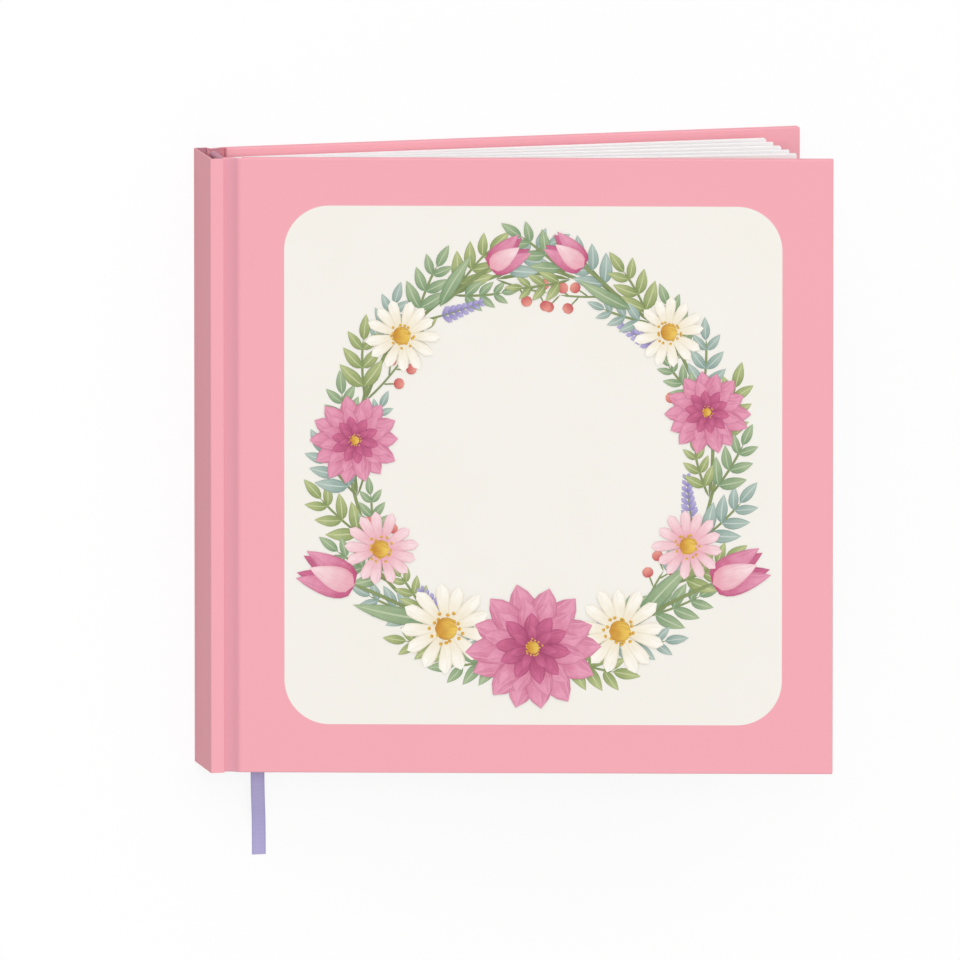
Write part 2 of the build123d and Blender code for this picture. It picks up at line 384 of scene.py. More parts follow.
def foreCorners(bm):  # upright edges at the two fore-edge corners of a cover
    return edgesBetween(bm, lambda f: f.normal.x > 0.9, lambda f: abs(f.normal.y) > 0.9)


def faceRims(bm):  # edges round a cover's two faces
    return edgesBetween(bm, lambda f: abs(f.normal.z) > 0.9, lambda f: abs(f.normal.z) < 0.1)


def grooveProfile(c):  # from the cover's flat face down into the groove and up to the spine's shoulder
    depth, high, low = c["grooveDepth"], c["flatFrom"], c["grooveLow"]
    points = []
    steps = 16
    for i in range(1, steps + 1):
        x = high + (low - high) * i / steps
        points.append((x, -depth * smoothStep((high - x) / (high - low))))
    bend = c["grooveBend"]
    wall = -c["grooveHalf"] + bend
    points.append((wall, -depth))
    for angle in (18, 36, 54, 72, 90):
        turn = math.radians(angle)
        points.append((wall - bend * math.sin(turn), -depth + bend * (1 - math.cos(turn))))
    points.append((-c["grooveHalf"], -c["edgeRadius"]))
    return points


def buildCoverSheet(c):  # flat and closed, x from the hinge, z up out of the cover's face
    bm = bmesh.new()
    length = c["reach"] - c["flatFrom"]
    middle = ((c["flatFrom"] + c["reach"]) / 2, 0, -c["wrapDepth"] / 2)
    addBox(bm, (length, c["height"], c["wrapDepth"]), middle)
    bm.normal_update()
    hingeSide = [f for f in bm.faces if f.normal.x < -0.9]
    bmesh.ops.delete(bm, geom=hingeSide, context="FACES_ONLY")
    inside = [f for f in bm.faces if f.normal.z < -0.9]
    bmesh.ops.inset_region(
        bm, faces=inside, thickness=c["turnIn"], use_even_offset=True, use_boundary=True,
    )
    bm.normal_update()
    window = inside[0]
    lips = [f for f in bm.faces if f.normal.z < -0.9 and f is not window]
    hingeLip = min(lips, key=lambda f: f.calc_center_median().x)
    for vert in window.verts:
        if vert.co.x < c["reach"] / 2:
            vert.co.x = c["flatFrom"]
    bmesh.ops.delete(bm, geom=[window, hingeLip], context="FACES")
    mitres = edgesBetween(bm, lambda f: f.normal.z < -0.9, lambda f: f.normal.z < -0.9)
    bmesh.ops.dissolve_edges(bm, edges=mitres, use_verts=False)
    roundOff(bm, foreCorners(bm), c["cornerRadius"], 4)
    roundOff(bm, faceRims(bm), c["edgeRadius"], 3)

    # the groove strip grows out of the face's hinge side
    edge = max(
        (e for e in bm.edges if e.is_boundary and all(abs(v.co.z) < 1e-4 for v in e.verts)),
        key=lambda e: e.calc_length(),
    )
    strip = []
    edges = [edge]
    for x, z in grooveProfile(c):
        made = bmesh.ops.extrude_edge_only(bm, edges=edges)
        verts = pick(made, BMVert)
        for vert in verts:
            vert.co.x = x
            vert.co.z = z
        edges = [e for e in pick(made, BMEdge) if all(v in verts for v in e.verts)]
        strip += pick(made, BMFace)
    # the strip's head and tail ends roll over as the cover's own edges do
    ends = [e for f in strip for e in f.edges if e.is_boundary and abs(e.verts[0].co.y - e.verts[1].co.y) < 1]
    radius = c["edgeRadius"]
    turns = [math.radians(angle) for angle in (0, 30, 60, 90)]
    rolled = [(radius * math.sin(turn), radius * math.cos(turn)) for turn in turns]
    rolled.append((radius, -c["rollDrop"]))
    for (before, high), (out, low) in zip(rolled, rolled[1:]):
        made = bmesh.ops.extrude_edge_only(bm, edges=ends)
        verts = pick(made, BMVert)
        for vert in verts:
            vert.co.y += math.copysign(out - before, vert.co.y)
            vert.co.z -= high - low
        ends = [e for e in pick(made, BMEdge) if all(v in verts for v in e.verts)]
    bmesh.ops.remove_doubles(bm, verts=bm.verts, dist=0.01)
    bmesh.ops.recalc_face_normals(bm, faces=bm.faces)
    bm.normal_update()
    top = max(bm.faces, key=lambda f: f.calc_area())
    if top.normal.z < 0:
        bmesh.ops.reverse_faces(bm, faces=bm.faces)
    writeUv(bm, "sheet")
    bmesh.ops.solidify(bm, geom=bm.faces[:], thickness=c["paper"])
    return bm


def bendShare(c, x):  # how far the sheet follows the cover's turn
    return smoothStep((x - c["bendFrom"]) / (c["bendTo"] - c["bendFrom"]))


def frontPlace(c, point, share=1.0):  # from the flat cover to its raised rest, in millimetres
    turn = math.radians(c["frontAngle"]) * share
    x, z = point.x, point.z - c["hingeRise"]
    return Vector((
        c["hingeX"] + x * math.cos(turn) - z * math.sin(turn),
        point.y,
        c["thickness"] + c["hingeRise"] + x * math.sin(turn) + z * math.cos(turn),
    ))


def placeOnCover(bm, c, side):  # a piece made flat goes to the raised front cover or the back cover
    for vert in bm.verts:
        if side == "front":
            vert.co = frontPlace(c, vert.co) * mm
        else:
            vert.co = Vector((c["hingeX"] + vert.co.x, vert.co.y, -vert.co.z)) * mm
    if side == "back":
        bmesh.ops.reverse_faces(bm, faces=bm.faces)


def makeCoverSheets(c):
    bm = buildCoverSheet(c)
    for vert in bm.verts:
        vert.co = frontPlace(c, vert.co, bendShare(c, vert.co.x)) * mm
    front = newPiece("front_sheet", bm, [coverPaper])
    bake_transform(front)
    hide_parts("front_cover_paper", "front_joint_paper")

    bm = buildCoverSheet(c)
    placeOnCover(bm, c, "back")
    back = newPiece("back_sheet", bm, [coverPaper])
    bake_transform(back)
    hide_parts("back_cover_paper", "back_joint_paper")


# Turn-in: the same sheet where it folds into the spine's hollow, with painted shade: a darker, duller pink
# stands in for the hollow's shade
def makeTurnIn():
    m = newMaterial("glued paper turn-in")
    place = addNode(m, "TexCoord", give="Object")
    shadeMottle = addNode(m, "TexNoise", {"Vector": place, "Scale": perMm(3.0), "Detail": 4.0, "Roughness": 0.6})
    # painted shade: a mottled pink, darker than the cover paper
    return finishSurface(m, "#c98d9b", [(shadeMottle, "#bb8290")], 0.7, Specular_IOR_Level=0.18)


def makeSpineSheet(c):
    bm = bmesh.new()
    middle = (c["spineFace"] + c["spineDepth"] / 2, 0, c["thickness"] / 2)
    addBox(bm, (c["spineDepth"], c["height"], c["thickness"]), middle)
    longEdges = [e for e in bm.edges if abs(e.verts[0].co.y - e.verts[1].co.y) > 1]
    roundOff(bm, longEdges, c["edgeRadius"], 3)
    openSides = [f for f in bm.faces if abs(f.normal.y) > 0.9 or f.normal.x > 0.9]
    bmesh.ops.delete(bm, geom=openSides, context="FACES")
    hollow = c["height"] / 2 - c["spineInset"]
    for side in (-1, 1):
        whole = bm.verts[:] + bm.edges[:] + bm.faces[:]
        bmesh.ops.bisect_plane(bm, geom=whole, plane_co=(0, side * hollow, 0), plane_no=(0, 1, 0))
    bm.normal_update()
    writeUv(bm, "sheet")
    uv = bm.loops.layers.uv["sheet"]
    for face in bm.faces:
        if abs(face.normal.x) > 0.7:
            for loop in face.loops:
                loop[uv].uv = ((c["spineFace"] - loop.vert.co.z) * mm, loop.vert.co.y * mm)
    ends = [f for f in bm.faces if abs(f.calc_center_median().y) > hollow]
    turnedIn = bmesh.ops.duplicate(bm, geom=ends)
    bm.normal_update()
    for vert in pick(turnedIn, BMVert):
        vert.co -= vert.normal * c["paper"]
    # the turned-in faces take the painted-shade paper
    for face in pick(turnedIn, BMFace):
        face.material_index = 1
    bmesh.ops.solidify(bm, geom=bm.faces[:], thickness=c["paper"])
    # the turn-in goes on over the ends of the spine board
    inside = c["spineFace"] + 2 * c["paper"]
    depth = c["spineFace"] + c["spineDepth"] - c["paper"] - inside
    for side in (-1, 1):
        middle = (inside + depth / 2, side * (hollow + c["paper"] / 2), c["thickness"] / 2)
        cap = addBox(bm, (depth, c["paper"], c["thickness"] - 4 * c["paper"]), middle, calc_uvs=True)
        # the caps take the painted-shade paper too
        for face in {f for vert in cap for f in vert.link_faces}:
            face.material_index = 1
    bmesh.ops.scale(bm, vec=(mm, mm, mm), verts=bm.verts)
    piece = newPiece("spine_sheet", bm, [coverPaper, makeTurnIn()])
    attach(piece, "spine")
    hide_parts("spine_cover_paper")


makeCoverSheets(case)
makeSpineSheet(case)
print("case sheets wrapped")

# Front panel: a cream field printed on the cover sheet
panel = {
    "left": 13.7,  # mm from the hinge, along the cover
    "right": 141.65,
    "low": -67.3,
    "high": 67.8,
    "radius": 11.6,
    "cream": "#f4f1eb",
    "rise": 0.012,  # mm above the sheet
    "thickness": 0.03,
}

# Garland: meadow flowers printed in a ring on the panel
garland = {
    "ring": (42.0, 45.5),  # mm from its middle, across and up
    "scale": 1.09,
    "layer": 0.006,  # mm between printed layers, thin as ink but apart for the renderer
    "inkShare": 0.8,  # of a layer
    "seed": 7,
    "stops": 12,  # on each side, with a sprig outwards and another inwards
    "from": -82.0,  # degrees round the ring at the first stop
    "to": 78.0,  # and at the last
    # place, radius and lowest layer
    "dahlias": [((0, -43.5), 15.0, 35), ((-42, 6), 10.2, 35), ((41, 13), 9.6, 35)],
    # place, direction in degrees, size, lowest layer and bend of the stem
    "tulips": [
        ((-24, -37), 152, 14, 23, 1.2), ((24.5, -37), 30, 14, 23, -1.2),
        ((-22, 38), 42, 10.5, 32, -1.0), ((23, 37.5), 134, 10.5, 32, 1.0),
    ],
    # place, radius, lowest layer and ink
    "daisies": [
        ((-20.5, -39), 10.8, 30, "cream"), ((20.5, -39.5), 10.4, 30, "cream"),
        ((-36, -20), 8.6, 30, "blush"), ((36.5, -19), 8.2, 30, "blush"),
        ((-31, 31), 8.6, 30, "cream"), ((32, 32), 8.2, 30, "cream"),
    ],
}


# Offset inks: a watercolour wash, paler to the tip, with darker rims and veins and a pale midrib on leaves
def makeInk(name, base, tip, rim, veins=0.35, midrib=None):
    m = newMaterial(name)
    uv = addNode(m, "UVMap", uv_map="paint")
    aside, lengthwise = addNode(m, "SeparateXYZ", [uv]).node.outputs[:2]
    centred = addNode(m, "Math", [aside, 2.0, -1.0], operation="MULTIPLY_ADD")
    fromMiddle = addNode(m, "Math", [centred], operation="ABSOLUTE")
    place = addNode(m, "TexCoord", give="Object")
    # pooled pigment of a watercolour wash
    wash = addNode(m, "TexNoise", {"Vector": place, "Scale": perMm(2.6), "Detail": 4.0, "Roughness": 0.6})
    pooled = addNode(m, "Math", [wash, 0.7, -0.35], operation="MULTIPLY_ADD")
    drift = addNode(m, "Math", [lengthwise, pooled], operation="ADD")
    stretched = addNode(m, "Mapping", {0: uv, 3: (9.0, 1.1, 1.0)})
    vein = addNode(m, "TexNoise", {"Vector": stretched, "Scale": 1.6, "Detail": 3.0})
    layers = [
        (addNode(m, "MapRange", [drift, 0.08, 0.85, 0.0, 1.0]), tip),
        (addNode(m, "MapRange", [vein, 0.5, 0.72, 0.0, veins]), rim),
        (addNode(m, "MapRange", [fromMiddle, 0.7, 1.0, 0.0, 0.45]), rim),
    ]
    if midrib:
        layers.append((addNode(m, "MapRange", [fromMiddle, 0.05, 0.16, 0.7, 0.0]), midrib))
    return finishSurface(m, base, layers, 0.56, Specular_IOR_Level=0.3)


# Cream field: a solid tint under the same matt film, so the sheet's fine tooth still shows
def makePanelPaper(p):
    m = newMaterial("cream printed field")
    place = addNode(m, "TexCoord", give="Object")
    tooth = addNode(m, "TexNoise", {"Vector": place, "Scale": perMm(0.7), "Detail": 4.0, "Roughness": 0.6})
    cloud = addNode(m, "TexNoise", {"Vector": place, "Scale": perMm(26.0), "Detail": 3.0, "Roughness": 0.55})
    rough = addNode(m, "MapRange", [tooth, 0.3, 0.7, 0.5, 0.62])
    layers = [(cloud, "#f1ede4")]
    return finishSurface(m, p["cream"], layers, rough, tooth, (0.05, 0.12), Specular_IOR_Level=0.3)


def layOnPanel(bm, c, p):  # from the panel's middle to the raised cover
    middle = Vector(((p["left"] + p["right"]) / 2, (p["low"] + p["high"]) / 2, p["rise"]))
    for vert in bm.verts:
        vert.co = frontPlace(c, middle + vert.co) * mm


def makePanel(c, p):
    bm = bmesh.new()
    bmesh.ops.create_grid(bm, x_segments=1, y_segments=1, size=0.5)
    bmesh.ops.scale(bm, vec=(p["right"] - p["left"], p["high"] - p["low"], 1), verts=bm.verts)
    roundOff(bm, bm.verts[:], p["radius"], 16, "VERTICES")
    thicken(bm, (0, 0, -p["thickness"]))
    layOnPanel(bm, c, p)
    piece = newPiece("front_panel", bm, [makePanelPaper(p)])
    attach(piece, "front_cover")


# share of the full width along a printed shape, t from 0 at its foot to 1 at its tip
outlines = {
    "leaf": lambda t: math.sin(math.pi * t ** 0.8) ** 0.9,
    "petal": lambda t: t ** 0.55 * max(0.0, 1 - t ** 5) ** 0.5,
    "point": lambda t: math.sin(math.pi * t ** 1.15) ** 0.75,
    "cup": lambda t: math.sin(math.pi * t ** 0.62) ** 0.85,
    "round": lambda t: math.sqrt(max(0.0, 1 - (2 * t - 1) ** 2)),
    "stem": lambda t: min(1.0, 12 * t, 12 * (1 - t)) ** 0.5,
}


def along(at, angle, distance, aside=0.0):
    turn = math.radians(angle)
    return (at[0] + distance * math.cos(turn) - aside * math.sin(turn),
            at[1] + distance * math.sin(turn) + aside * math.cos(turn))


def addShape(bm, style, length, width, at, angle, layer, color, bend=0.0, steps=(4, 8)):
    verts = bmesh.ops.create_grid(
        bm, x_segments=steps[0], y_segments=steps[1], size=0.5, calc_uvs=True,
    )["verts"]
    for vert in verts:
        t = min(max(vert.co.y + 0.5, 0.0), 1.0)
        aside = vert.co.x * outlines[style](t) * width + bend * t * t
        vert.co = (*along(at, angle, t * length, aside), layer * garland["layer"])
    for face in {face for vert in verts for face in vert.link_faces}:
        face.material_index = color


inks = [
    makeInk("sage leaf ink", "#7f9a74", "#a9bb94", "#5f7c5c", 0.3, "#c9d4b4"),
    makeInk("olive leaf ink", "#8a9a5f", "#b8c188", "#67784a", 0.3, "#d3d8ab"),
    makeInk("grey leaf ink", "#8ba39a", "#b4c5bb", "#6b857d", 0.3, "#d2dcd3"),
    makeInk("rose petal ink", "#c2517b", "#e79db6", "#a93f6b", 0.4),
    makeInk("deep rose petal ink", "#a03a64", "#cf6a90", "#862d54", 0.4),
    makeInk("cream petal ink", "#efe3c8", "#fdf9f0", "#d3c4a2", 0.3),
    makeInk("blush petal ink", "#e8a7b4", "#f8dcdf", "#d98a9d", 0.35),
    makeInk("gold stamen ink", "#c88a2c", "#edc659", "#a96f1f", 0.5),
    makeInk("lilac bud ink", "#8d82b8", "#b9b1d8", "#766aa6", 0.35),
    makeInk("stem ink", "#7b8a58", "#8c9a66", "#66764a", 0.2),
    makeInk("coral berry ink", "#c65a5c", "#e89a8c", "#a94549", 0.2),
]
ink = {material.name.split()[0]: index for index, material in enumerate(inks)}  # by the name's first word


def addSprig(bm, at, angle, length, pairs, leafSize, color, layer, bend=0.0):
    addShape(bm, "stem", length, 0.55, at, angle, layer, ink["stem"], bend, (2, 8))
    for pair in range(pairs):
        t = (pair + 0.8) / (pairs + 0.4)
        here = along(at, angle, t * length, bend * t * t)
        lean = math.degrees(math.atan2(2 * bend * t, length))
        size = leafSize * (1.08 - 0.45 * t)
        for side in (-1, 1):
            addShape(bm, "leaf", size, size * 0.42, here, angle + lean + side * 48, layer + 1 + pair % 2,
                     color, side * -0.12 * size, (4, 7))
    tip = along(at, angle, length * 0.97, bend)
    lean = math.degrees(math.atan2(2 * bend, length))
    addShape(bm, "leaf", leafSize * 0.8, leafSize * 0.32, tip, angle + lean, layer + 3, color, 0.0, (4, 7))


def addLavender(bm, at, angle, length, layer, bend=0.0):
    addShape(bm, "stem", length, 0.45, at, angle, layer, ink["stem"], bend, (2, 8))
    for row in range(7):
        t = 0.42 + 0.58 * row / 6
        here = along(at, angle, t * length, bend * t * t)
        size = 2.9 - 0.16 * row
        for side in (-1, 1):
            above = layer + 1 + 2 * (row % 2) + (side > 0)
            addShape(bm, "petal", size, size * 0.62, here, angle + side * (42 - 3 * row), above,
                     ink["lilac"], 0.0, (3, 4))


def addBerries(bm, at, angle, length, layer, bend=0.0):
    addShape(bm, "stem", length, 0.45, at, angle, layer, ink["stem"], bend, (2, 8))
    for step in range(4):
        t = 0.45 + 0.18 * step
        here = along(at, angle, t * length, bend * t * t)
        outward = angle + (40 if step % 2 else -40)
        addShape(bm, "stem", 3.2, 0.35, here, outward, layer + 1, ink["stem"], 0.0, (2, 4))
        tip = along(here, outward, 2.6)
        addShape(bm, "round", 2.6, 2.6, tip, outward, layer + 2 + step % 2, ink["coral"], 0.0, (6, 8))


def addRing(bm, style, count, inner, length, width, at, turn, layer, color, rng):
    for step in range(count):
        angle = turn + 360 * step / count + rng.uniform(-4, 4)
        size = length * rng.uniform(0.94, 1.05)
        closing = step == count - 1 and count % 2  # the last petal of an odd ring lies over both neighbours
        above = layer + (2 if closing else step % 2)
        addShape(bm, style, size, width, along(at, angle, inner), angle, above, color,
                 rng.uniform(-0.05, 0.05) * size, (4, 7))


def addStamens(bm, at, radius, layer, rng):
    start = (at[0] - radius, at[1])
    addShape(bm, "round", 2 * radius, 2 * radius, start, 0, layer, ink["gold"], 0.0, (8, 10))
    for step in range(16):
        angle = 360 * step / 16 + rng.uniform(-8, 8)
        spot = along(at, angle, radius * rng.uniform(0.75, 1.35))
        size = radius * 0.34
        addShape(bm, "round", size, size, spot, angle, layer + 1, ink["gold"], 0.0, (3, 4))


def addDaisy(bm, at, radius, layer, color, rng):
    turn = rng.uniform(0, 30)
    addRing(bm, "petal", 13, radius * 0.12, radius * 0.9, radius * 0.4, at, turn, layer, color, rng)
    addStamens(bm, at, radius * 0.25, layer + 3, rng)


def addDahlia(bm, at, radius, layer, rng):
    rings = [(14, 1.0, "rose"), (12, 0.76, "rose"), (10, 0.54, "deep"), (7, 0.34, "deep")]
    for index, (count, share, color) in enumerate(rings):
        addRing(bm, "point", count, 0.04 * radius, share * radius, share * radius * 0.46, at,
                13 * index, layer + 2 * index, ink[color], rng)
    addStamens(bm, at, radius * 0.1, layer + 9, rng)


def addTulip(bm, at, angle, size, layer, bend=0.0):
    addShape(bm, "stem", size * 1.5, 0.8, at, angle, layer, ink["stem"], bend, (2, 8))
    curl = -0.12 * size
    addShape(bm, "leaf", size * 1.35, size * 0.3, at, angle + 22, layer + 1, ink["sage"], curl, (4, 8))
    head = along(at, angle, size * 1.42, bend)
    lean = angle + math.degrees(math.atan2(2 * bend, size * 1.5))
    for side in (-1, 1):
        above = layer + 2 + (side > 0)
        addShape(bm, "cup", size, size * 0.4, head, lean + side * 9, above, ink["deep"], 0.0, (4, 8))
        addShape(bm, "cup", size * 0.98, size * 0.44, head, lean + side * 26, above + 2, ink["rose"],
                 side * -0.2 * size, (4, 8))
    addShape(bm, "cup", size * 0.82, size * 0.42, head, lean, layer + 6, ink["blush"], 0.0, (4, 8))


def addGreenery(bm, g, rng):  # up both sides of the ring, with layers of their own for shapes that overlap
    a, b = g["ring"]
    leafColors = [ink["sage"], ink["olive"], ink["grey"]]
    lastStop = g["stops"] - 1
    for side in (-1, 1):
        for stop in range(g["stops"]):
            place = math.radians(g["from"] + (g["to"] - g["from"]) * stop / lastStop)
            at = (side * a * math.cos(place), b * math.sin(place))
            flow = math.degrees(math.atan2(b * math.cos(place), -side * a * math.sin(place)))
            stemLayer = 1 + stop % 2 + 2 * (side > 0)
            outerLayer = 5 + 9 * (stop % 2)
            if side > 0 and stop == lastStop:  # where the two sides meet
                outerLayer = 23
            innerLayer = outerLayer + 4
            kind = stop + (side > 0)
            addShape(bm, "stem", 17, 0.8, at, flow, stemLayer, ink["stem"], side * 1.8, (2, 8))
            addSprig(bm, at, flow - side * rng.uniform(26, 38), rng.uniform(13, 16), 3, rng.uniform(7, 8.4),
                     leafColors[kind % 3], outerLayer, side * 2.0)
            inner = flow + side * rng.uniform(26, 36)
            if kind % 4 == 1:
                addLavender(bm, at, inner, 15, innerLayer, side * -1.5)
            elif kind % 4 == 3:
                addBerries(bm, at, inner, 12.5, innerLayer, side * -1.5)
            else:
                addSprig(bm, at, inner, 11.5, 3, 5.6, leafColors[(stop + 2) % 3], innerLayer, side * -1.5)


def makePrint(c, p, g):
    rng = random.Random(g["seed"])
    bm = bmesh.new()
    bm.loops.layers.uv.new("paint")
    addGreenery(bm, g, rng)
    for at, radius, layer in g["dahlias"]:
        addDahlia(bm, at, radius, layer, rng)
    for at, angle, size, layer, bend in g["tulips"]:
        addTulip(bm, at, angle, size, layer, bend)
    for at, radius, layer, color in g["daisies"]:
        addDaisy(bm, at, radius, layer, ink[color], rng)
    bmesh.ops.scale(bm, vec=(g["scale"], g["scale"], 1), verts=bm.verts)
    bmesh.ops.remove_doubles(bm, verts=bm.verts, dist=0.0008)
    bmesh.ops.dissolve_degenerate(bm, edges=bm.edges, dist=0.0005)
    thicken(bm, (0, 0, g["inkShare"] * g["layer"]), use_keep_orig=True)
    layOnPanel(bm, c, p)
    piece = newPiece("front_print", bm, inks)
    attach(piece, "front_cover")


makePanel(case, panel)
makePrint(case, panel, garland)
print("front panel printed")

# Greyboard: pressed waste-paper pulp, flecked and dull, with square-cut edges
boards = {"thickness": 2.2, "edge": 0.12}


def makeGreyboard():
    m = newMaterial("greyboard")
    place = addNode(m, "TexCoord", give="Object")
    fibre = addNode(m, "TexNoise", {"Vector": place, "Scale": perMm(0.8), "Detail": 6.0, "Roughness": 0.7})
    fleck = addNode(m, "TexNoise", {"Vector": place, "Scale": perMm(2.5), "Detail": 3.0, "Roughness": 0.55})
    layers = [(fibre, "#a39b90"), (addNode(m, "MapRange", [fleck, 0.62, 0.72, 0.0, 0.5]), "#6e675f")]
    return finishSurface(m, "#8b8379", layers, 0.92, fibre, (0.15, 0.5), Specular_IOR_Level=0.2)


greyboard = makeGreyboard()


def makeBoards(c, b):
    low, high = c["flatFrom"], c["reach"] - c["paper"]
    size = (high - low, c["height"] - 2 * c["paper"], b["thickness"])
    middle = ((low + high) / 2, 0, -c["paper"] - b["thickness"] / 2)
    for side in ("front", "back"):
        bm = bmesh.new()
        addBox(bm, size, middle)
        bm.normal_update()
        roundOff(bm, foreCorners(bm), c["cornerRadius"] - c["paper"], 3)
        roundOff(bm, faceRims(bm), b["edge"], 2)
        placeOnCover(bm, c, side)
        piece = newPiece(f"{side}_greyboard", bm, [greyboard])
        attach(piece, f"{side}_cover")
        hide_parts(f"{side}_board")


makeBoards(case, boards)
dressNode("spine_board", greyboard)
print("boards cut")

# Leaves: uncoated wood-free writing paper, six to a signature, step-cut and ruled
leaves = {
    "foldX": -74.8,
    "foldZ": [4.6, 6.95, 9.6, 11.95, 14.3],
    "angles": [0.4, 2.05, 3.7, 5.35, 7.0],
    "groups": [(13, 12, 11), (10, 9), (8, 7, 6), (5, 4), (3, 2, 1)],  # signatures from the table upwards
    "creep": [-1.6, -1.1, -0.6, 0.35, 1.1],  # mm by which a fanned group slides at the fore-edge
    "pitch": 0.15,
    "thickness": 0.122,
    "perSignature": 6,
    "width": 146.4,
    "halfHeight": 77.8,
    "tabDepth": 6.0,
    "tabRadius": 2.0,
    "tabs": 13,
    "tabCut": 0.5,  # mm from the tabs to the cut that keeps their faces off the page's
    "foldRadius": 0.35,
    "foldTaper": 8.0,
    "foldStart": 0.05,  # mm from the fold to a signature that holds it
    "sideStart": 0.6,  # and to the others
    "bend": 10.0,  # mm from the fold, over which the leaf is cut across in steps
    "bendSteps": 8,
    "trimVariation": 0.14,  # mm by which single leaves fall short
    "linePitch": 7.2,
    "linesPerEntry": 4,
    "headMargin": 15.0,
    "tailMargin": 10.0,
    "foldMargin": 12.0,
    "foreMargin": 11.0,
}


def makeLeafPaper(p):
    m = newMaterial("uncoated writing paper")
    place = addNode(m, "UVMap", uv_map="page")
    fibre = addNode(m, "TexNoise", {"Vector": place, "Scale": perMm(0.5), "Detail": 5.0, "Roughness": 0.65})
    cloud = addNode(m, "TexNoise", {"Vector": place, "Scale": perMm(14.0), "Detail": 3.0, "Roughness": 0.55})
    layers = [(cloud, "#f9f6f7"), (addNode(m, "MapRange", [fibre, 0.55, 0.8, 0.0, 0.25]), "#ebe7e7")]
    across, up = addNode(m, "SeparateXYZ", [place]).node.outputs[:2]
    top, foot = p["halfHeight"] - p["headMargin"], p["tailMargin"] - p["halfHeight"]
    left, right = p["foldMargin"], p["width"] - p["foreMargin"]
    margins = [
        (across, left, left + 0.1, 0.0, 1.0), (across, right - 0.1, right, 1.0, 0.0),
        (up, top + 0.4, top + 0.5, 1.0, 0.0), (up, foot, foot + 0.1, 0.0, 1.0),
    ]
    ruled = 1.0
    for axis, low, high, before, after in margins:
        within = addNode(m, "MapRange", [axis, low * mm, high * mm, before, after])
        ruled = addNode(m, "Math", [within, ruled], operation="MULTIPLY")
    # a thin line for each row of writing, and a stronger one for each entry
    row, entry = p["linePitch"], p["linePitch"] * p["linesPerEntry"]
    for pitch, full, gone, color in ((row, 0.011, 0.019, "#d9c3cb"), (entry, 0.007, 0.010, "#d58ea0")):
        counted = addNode(m, "Math", [up, -perMm(pitch), top / pitch + 0.5], operation="MULTIPLY_ADD")
        part = addNode(m, "Math", [counted], operation="FRACT")
        offset = addNode(m, "Math", [part, 0.5], operation="SUBTRACT")
        near = addNode(m, "Math", [offset], operation="ABSOLUTE")
        line = addNode(m, "MapRange", [near, full, gone, 1.0, 0.0])
        layers.append((addNode(m, "Math", [line, ruled], operation="MULTIPLY"), color))
    return finishSurface(m, "#fdfbfb", layers, 0.85, fibre, (0.04, 0.2), Specular_IOR_Level=0.25)


leafPaper = makeLeafPaper(leaves)


def leafFrame(p, group):
    turn = math.radians(p["angles"][group])
    across = Vector((math.cos(turn), 0, math.sin(turn)))
    away = Vector((-math.sin(turn), 0, math.cos(turn)))
    origin = Vector((p["foldX"], 0, p["foldZ"][group]))
    return lambda x, y, h: (origin + across * x + Vector((0, y, 0)) + away * h) * mm


def addLeaf(bm, p, number, start, shortX, shortY):
    half = p["halfHeight"] - shortY
    edge = p["width"] - shortX
    step = p["width"] - p["tabDepth"] - shortX
    tabLow = p["halfHeight"] - number * (2 * p["halfHeight"] / p["tabs"])
    if number < p["tabs"]:
        corners = [(start, -half), (step, -half), (step, tabLow), (edge, tabLow), (edge, half), (start, half)]
    else:
        corners = [(start, -half), (edge, -half), (edge, half), (start, half)]
    verts = [bm.verts.new((x, y, 0)) for x, y in corners]
    bm.faces.new(verts)
    if number < p["tabs"]:
        roundOff(bm, [verts[3]], p["tabRadius"], 5, "VERTICES")


def bendCuts(p):
    return [p["bend"] * step / p["bendSteps"] for step in range(1, p["bendSteps"] + 1)]


def cutAcross(bm, places):
    for cut in places:
        bmesh.ops.bisect_plane(
            bm, geom=bm.verts[:] + bm.edges[:] + bm.faces[:], plane_co=(cut, 0, 0), plane_no=(1, 0, 0),
        )


def bendAtFold(piece, p, group):  # bakes the leaf's placement into its mesh; no curve is given to it
    place = leafFrame(p, group)
    start, end = tuple(place(0, 0, 0)), tuple(place(p["bend"], 0, 0))
    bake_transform(piece)


def halfGroup(p, group):  # half the height of a group's leaves
    return len(p["groups"][group]) * p["perSignature"] * p["pitch"] / 2


def drawTogether(bm, p, group, bottom):  # a leaf takes its place in its group, which is thinner at the fold
    place = leafFrame(p, group)
    pinch = p["foldRadius"] / halfGroup(p, group)
    for vert in bm.verts:
        share = min(vert.co.x / p["foldTaper"], 1.0)
        height = (bottom + vert.co.z) * (pinch + (1 - pinch) * share)
        vert.co = place(vert.co.x, vert.co.y, height)


def buildSignature(p, number, group, position, rng):
    count = len(p["groups"][group])
    height = p["perSignature"] * p["pitch"]
    low = position * height - halfGroup(p, group)
    holdsFold = low < -1e-6 and low + height >= -1e-6
    start = p["foldStart"] if holdsFold else p["sideStart"]
    whole = bmesh.new()
    whole.loops.layers.uv.new("page")
    for leaf in range(p["perSignature"]):
        outer = position in (0, count - 1) and leaf in (0, p["perSignature"] - 1)
        shortX = 0.0 if outer else rng.uniform(0, p["trimVariation"])
        shortY = 0.0 if outer else rng.uniform(0, p["trimVariation"])
        bm = bmesh.new()
        addLeaf(bm, p, number, start, shortX - p["creep"][group], shortY)
        cutAcross(bm, bendCuts(p) + [p["foldTaper"], p["width"] - p["tabDepth"] - p["tabCut"]])
        thicken(bm, (0, 0, p["thickness"]))
        writeUv(bm, "page")
        drawTogether(bm, p, group, low + (leaf + 0.5) * p["pitch"] - p["thickness"] / 2)
        leafMesh = bpy.data.meshes.new("leaf")
        bm.to_mesh(leafMesh)
        bm.free()
        whole.from_mesh(leafMesh)
        bpy.data.meshes.remove(leafMesh)
    return whole


